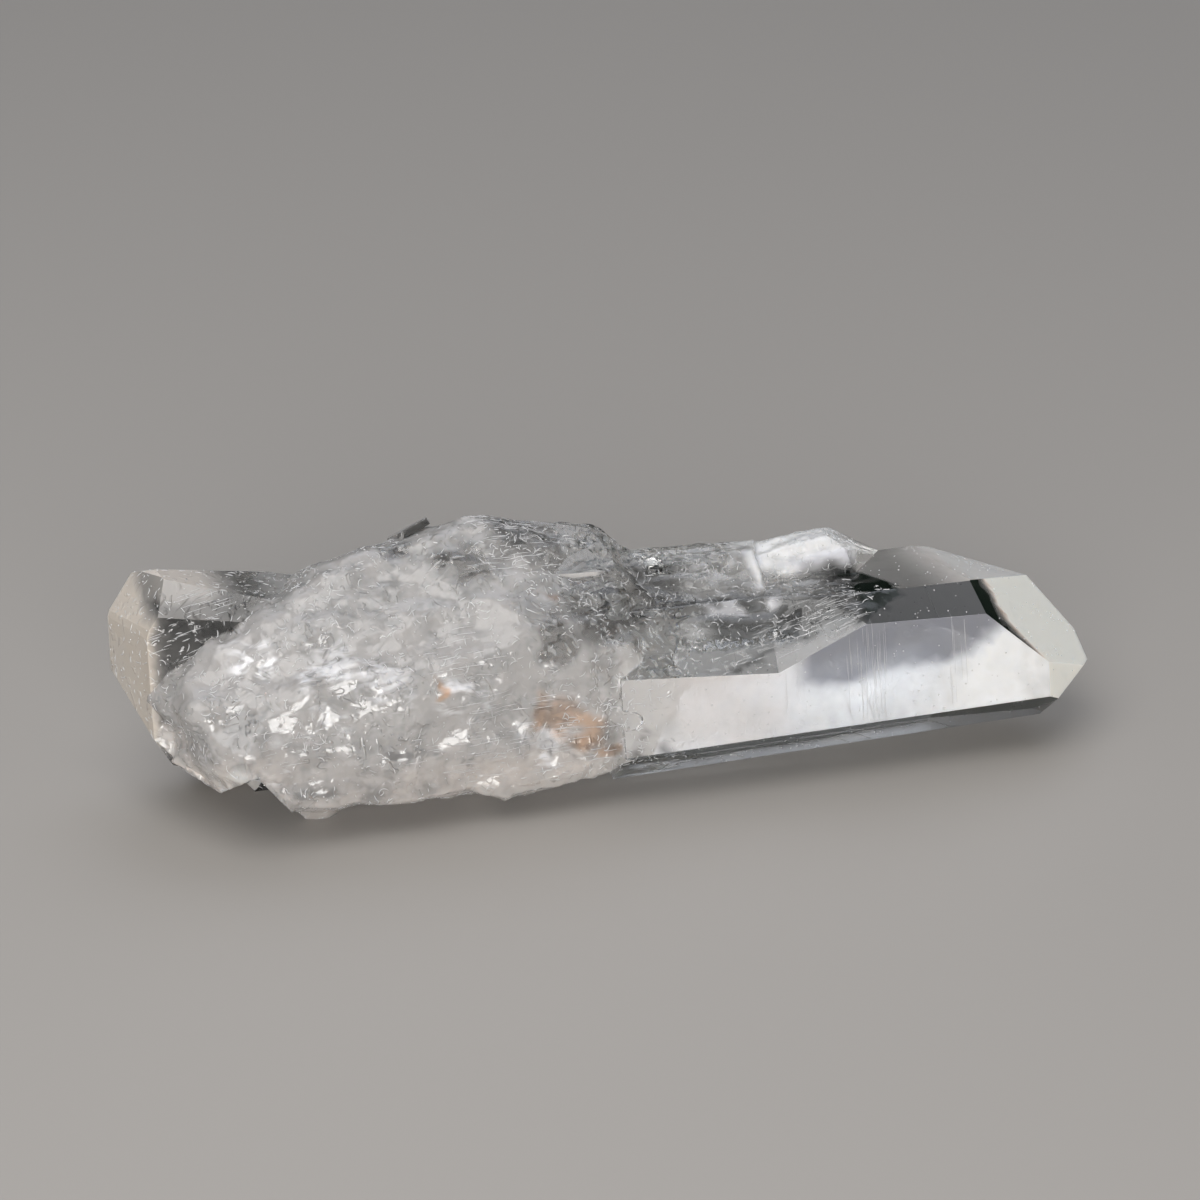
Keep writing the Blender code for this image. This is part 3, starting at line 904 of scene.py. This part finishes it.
def new_material(name):
    material = bpy.data.materials.new(name)
    material.use_nodes = True
    nodes = material.node_tree.nodes
    return material, nodes, material.node_tree.links, nodes["Principled BSDF"]


def attribute(tree, name, output="Fac"):
    """A value, or a colour, that is painted on the mesh."""
    node = tree.nodes.new("ShaderNodeAttribute")
    node.attribute_name = name
    return node.outputs[output]


def feed(tree, socket, value):
    """Link a socket to another, or set it to a number or a colour."""
    if isinstance(value, bpy.types.NodeSocket):
        tree.links.new(value, socket)
    else:
        socket.default_value = value


def math_node(tree, operation, *values, clamp=False):
    node = tree.nodes.new("ShaderNodeMath")
    node.operation = operation
    node.use_clamp = clamp
    for socket, value in zip(node.inputs, values):
        feed(tree, socket, value)
    return node.outputs[0]


def mix_colour(tree, share, first, second):
    """The first colour where the share is 0, and the second where it is 1."""
    node = tree.nodes.new("ShaderNodeMix")
    node.data_type = "RGBA"
    feed(tree, node.inputs["Factor"], share)
    feed(tree, node.inputs[6], first)
    feed(tree, node.inputs[7], second)
    return node.outputs[2]


def stretched(tree, coordinates, stretch, turn=(0.0, 0.0, 0.0)):
    """Coordinates turned and scaled by axis, for patterns that run one way."""
    node = tree.nodes.new("ShaderNodeMapping")
    node.inputs["Rotation"].default_value = turn
    node.inputs["Scale"].default_value = stretch
    tree.links.new(coordinates, node.inputs["Vector"])
    return node.outputs["Vector"]


def noise_texture(tree, vector, scale, detail=4.0, roughness=0.55, distortion=0.0):
    node = tree.nodes.new("ShaderNodeTexNoise")
    node.inputs["Scale"].default_value = scale
    node.inputs["Detail"].default_value = detail
    node.inputs["Roughness"].default_value = roughness
    node.inputs["Distortion"].default_value = distortion
    tree.links.new(vector, node.inputs["Vector"])
    return node.outputs["Fac"]


def ramp(tree, value, low, high, bottom=0.0, top=1.0):
    """A value carried smoothly from bottom to top as it goes from low to high."""
    node = tree.nodes.new("ShaderNodeMapRange")
    node.interpolation_type = "SMOOTHSTEP"
    node.inputs["From Min"].default_value = low
    node.inputs["From Max"].default_value = high
    node.inputs["To Min"].default_value = bottom
    node.inputs["To Max"].default_value = top
    tree.links.new(value, node.inputs["Value"])
    return node.outputs["Result"]


def etched_strokes(tree, coordinates):
    """Short parallel strokes in small cells, each cell turned its own way, as etching leaves them."""
    cell = tree.nodes.new("ShaderNodeTexVoronoi")
    cell.inputs["Scale"].default_value = CELL_SCALE
    tree.links.new(coordinates, cell.inputs["Vector"])
    local = tree.nodes.new("ShaderNodeVectorRotate")
    local.rotation_type = "EULER_XYZ"
    tree.links.new(coordinates, local.inputs["Vector"])
    angles = tree.nodes.new("ShaderNodeVectorMath")
    angles.operation = "SCALE"
    angles.inputs["Scale"].default_value = 2.0 * math.pi
    tree.links.new(cell.outputs["Color"], angles.inputs[0])
    tree.links.new(angles.outputs["Vector"], local.inputs["Rotation"])
    drawn_long = stretched(tree, local.outputs["Vector"], (0.14, 1.0, 1.0))
    return ramp(tree, noise_texture(tree, drawn_long, STROKE_SCALE, 0.0), 0.58, 0.70)


def white_wisps(tree, coordinates):
    """Slanting wisps in the whitest patches of the root, and in the painted sheen on the melted ridge.
    """
    leaning = stretched(tree, coordinates, (0.45, 1.0, 1.0), (0.0, math.radians(28.0), 0.0))
    strands = noise_texture(tree, leaning, STRAND_SCALE, 2.0, 0.6, 0.8)
    return math_node(tree, "MULTIPLY", attribute(tree, "white"), ramp(tree, strands, 0.44, 0.64))


def quartz_colour(tree, body, hazed_and_lit, wisps):
    """White where clear; milky, wispy or stained where the skin is painted so, brightened by painted
    light where hazed, and dark under painted shade.
    """
    stained = math_node(tree, "MULTIPLY", attribute(tree, "stain"), STAIN_STRENGTH)
    colour = mix_colour(tree, body, CLEAR, MILKY)
    colour = mix_colour(tree, hazed_and_lit, colour, attribute(tree, "tone", "Color"))
    colour = mix_colour(tree, wisps, colour, WISP_WHITE)
    colour = mix_colour(tree, stained, colour, IRON_STAIN)
    return mix_colour(tree, attribute(tree, "shade"), colour, DEEP_SHADE)


def quartz_material():
    """Quartz: clear where it grew clean, milky and etched at the root, with a little iron stain, and
    with painted shade and painted light on its faces.
    """
    material, nodes, links, shader = new_material("rock_crystal")
    tree = material.node_tree
    coordinates = nodes.new("ShaderNodeTexCoord").outputs["Object"]
    etch = attribute(tree, "etch")
    clouds = noise_texture(tree, coordinates, CLOUD_SCALE, 3.0, 0.65)
    strokes = etched_strokes(tree, coordinates)
    wisps = white_wisps(tree, coordinates)
    milky = ramp(tree, clouds, 0.38, 0.60, 0.40, 1.0)
    body = math_node(tree, "MULTIPLY", attribute(tree, "milk"), milky)
    uneven = ramp(tree, clouds, 0.3, 0.6, 0.86, 1.0)
    hazed_and_lit = math_node(tree, "MULTIPLY", attribute(tree, "haze_and_light"), uneven)

    # The veiled share scatters light, and the rest lets it through
    scratched = math_node(tree, "MULTIPLY", math_node(tree, "MULTIPLY", strokes, etch), SCRATCH_VEIL)
    wispy = math_node(tree, "MULTIPLY", wisps, WISP_VEIL)
    veiled = math_node(tree, "MULTIPLY_ADD", body, MILK_VEIL, wispy)
    veiled = math_node(tree, "MAXIMUM", veiled, hazed_and_lit, clamp=True)
    veiled = math_node(tree, "MAXIMUM", veiled, scratched, clamp=True)
    clear_share = math_node(tree, "SUBTRACT", 1.0, veiled)
    links.new(clear_share, shader.inputs["Transmission Weight"])

    frost = attribute(tree, "frost")
    frosted = math_node(tree, "MULTIPLY_ADD", frost, FROST_ROUGHNESS, CLEAR_ROUGHNESS)
    roughness = math_node(tree, "MULTIPLY_ADD", body, MILK_ROUGHNESS, frosted)
    links.new(roughness, shader.inputs["Roughness"])
    links.new(quartz_colour(tree, body, hazed_and_lit, wisps), shader.inputs["Base Color"])
    shader.inputs["IOR"].default_value = QUARTZ_IOR
    shader.inputs["Subsurface Weight"].default_value = 1.0
    shader.inputs["Subsurface Radius"].default_value = (1.0, 0.95, 0.9)
    shader.inputs["Subsurface Scale"].default_value = SCATTER_LENGTH

    drifts = ramp(tree, clouds, 0.58, 0.40, 0.2, 1.0)
    etched = math_node(tree, "MULTIPLY", etch, ETCH_STRENGTH)
    bump = nodes.new("ShaderNodeBump")
    bump.inputs["Distance"].default_value = ETCH_DEPTH
    links.new(math_node(tree, "MULTIPLY", etched, drifts), bump.inputs["Strength"])
    links.new(strokes, bump.inputs["Height"])
    links.new(bump.outputs["Normal"], shader.inputs["Normal"])

    absorption = nodes.new("ShaderNodeVolumeAbsorption")
    absorption.inputs["Color"].default_value = ABSORPTION_COLOUR
    absorption.inputs["Density"].default_value = ABSORPTION_DENSITY
    links.new(absorption.outputs[0], nodes["Material Output"].inputs["Volume"])
    return material


def etch_material():
    """The white of etched ridges, growth lines and grains: partly their own whiteness, partly a
    painted glint.
    """
    material, nodes, links, shader = new_material("white_etch_and_glint")
    coordinates = nodes.new("ShaderNodeTexCoord").outputs["Object"]
    drift = noise_texture(material.node_tree, coordinates, GLINT_SCALE, 2.0)
    colour = mix_colour(material.node_tree, drift, DULL_MARK, BRIGHT_MARK)
    links.new(colour, shader.inputs["Base Color"])
    shader.inputs["Roughness"].default_value = 0.18
    shader.inputs["IOR"].default_value = QUARTZ_IOR
    shader.inputs["Transmission Weight"].default_value = 0.4


def floor_material():
    material, _, _, shader = new_material("floor")
    shader.inputs["Base Color"].default_value = FLOOR_GREY
    shader.inputs["Roughness"].default_value = 0.6
    return material


# ---------------------------------------------------------------- studio

def add_floor():
    mesh = bpy.data.meshes.new("floor")
    bm = bmesh.new()
    bmesh.ops.create_grid(bm, x_segments=1, y_segments=1, size=FLOOR_REACH)
    bm.to_mesh(mesh)
    bm.free()
    floor = bpy.data.objects.new("floor", mesh)
    bpy.context.scene.collection.objects.link(floor)
    floor.data.materials.append(floor_material())


def add_softbox(name, place, target, size, power, colour):
    """A rectangular soft light that looks at a target."""
    data = bpy.data.lights.new(name, "AREA")
    data.shape = "RECTANGLE"
    data.size, data.size_y = size
    data.energy = power
    data.color = colour
    light = bpy.data.objects.new(name, data)
    light.location = place
    light.rotation_euler = (Vector(target) - Vector(place)).to_track_quat("-Z", "Y").to_euler()
    bpy.context.scene.collection.objects.link(light)


def add_room():
    """A dark room with a pale ceiling, and a soft glow behind the crystal that shines through it."""
    world = bpy.data.worlds.new("room")
    world.use_nodes = True
    tree = world.node_tree
    direction = tree.nodes.new("ShaderNodeTexCoord").outputs["Generated"]
    split = tree.nodes.new("ShaderNodeSeparateXYZ")
    tree.links.new(direction, split.inputs["Vector"])
    ceiling = ramp(tree, split.outputs["Z"], 0.35, 0.75)
    sky = mix_colour(tree, ceiling, ROOM_DARK, ROOM_CEILING)
    towards = tree.nodes.new("ShaderNodeVectorMath")
    towards.operation = "DOT_PRODUCT"
    towards.inputs[1].default_value = GLOW_DIRECTION
    tree.links.new(direction, towards.inputs[0])
    glow = ramp(tree, towards.outputs["Value"], 0.78, 0.96)
    overhead = ramp(tree, split.outputs["Z"], 0.90, 0.935, 1.0, 0.1)
    sky = mix_colour(tree, math_node(tree, "MULTIPLY", glow, overhead), sky, GLOW_WHITE)
    tree.links.new(sky, tree.nodes["Background"].inputs["Color"])
    bpy.context.scene.world = world


def add_camera():
    data = bpy.data.cameras.new("camera")
    data.lens = CAMERA_LENS
    data.sensor_width = CAMERA_SENSOR
    camera = bpy.data.objects.new("camera", data)
    camera.location = at(*CAMERA_PLACE)
    tilt = math.radians(90.0 - CAMERA_ELEVATION)
    camera.rotation_euler = (tilt, 0.0, math.radians(CAMERA_AZIMUTH))
    bpy.context.scene.collection.objects.link(camera)
    bpy.context.scene.camera = camera


def studio():
    add_floor()
    add_softbox("top_light", **TOP_LIGHT)
    add_softbox("front_light", **FRONT_LIGHT)
    add_room()
    add_camera()
    scene = bpy.context.scene
    scene.view_settings.view_transform = "Standard"
    scene.cycles.max_bounces = LIGHT_BOUNCES
    scene.cycles.transmission_bounces = LIGHT_BOUNCES
    scene.cycles.diffuse_bounces = FLOOR_BOUNCES


crystal = crystal_skin()
crystal.data.materials.append(quartz_material())
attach(crystal, BODY)
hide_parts(NODE)

etch_material()
curved, curved_ids = marks_tree("curved_marks", "marks", (8.0, 30.0, 60.0, 110.0), True)
strew("etch_marks", crystal, curved, curved_ids, {
    "Density": 1.8e6, "Shortest": 0.12 * MM, "Longest": 1.0 * MM, "Thickness": 0.06 * MM, "Seed": 7,
})
straight, straight_ids = marks_tree("straight_marks", "grain", (4.0, 12.0), False)
strew("growth_lines", crystal, straight, straight_ids, {
    "Density": 0.7e6, "Shortest": 0.6 * MM, "Longest": 3.4 * MM, "Thickness": 0.035 * MM,
    "Direction": AXIS_DIRECTION, "Seed": 11,
})
slanting, slanting_ids = marks_tree("slanting_marks", "diagonal", (4.0, 20.0), False)
strew("slanting_lines", crystal, slanting, slanting_ids, {
    "Density": 1.8e6, "Shortest": 0.6 * MM, "Longest": 3.0 * MM, "Thickness": 0.03 * MM,
    "Direction": DIAGONAL_DIRECTION, "Seed": 5,
})
crossing, crossing_ids = marks_tree("crossing_marks", "crossing", (4.0, 6.0), False)
strew("crossing_lines", crystal, crossing, crossing_ids, {
    "Density": 0.9e6, "Shortest": 2.0 * MM, "Longest": 7.0 * MM, "Thickness": 0.022 * MM,
    "Direction": ACROSS_DIRECTION, "Seed": 3,
})
strew("specks", crystal, *specks_tree(), {
    "Density": 0.3e6, "Smallest": 0.05 * MM, "Largest": 0.10 * MM, "Seed": 9,
})

studio()
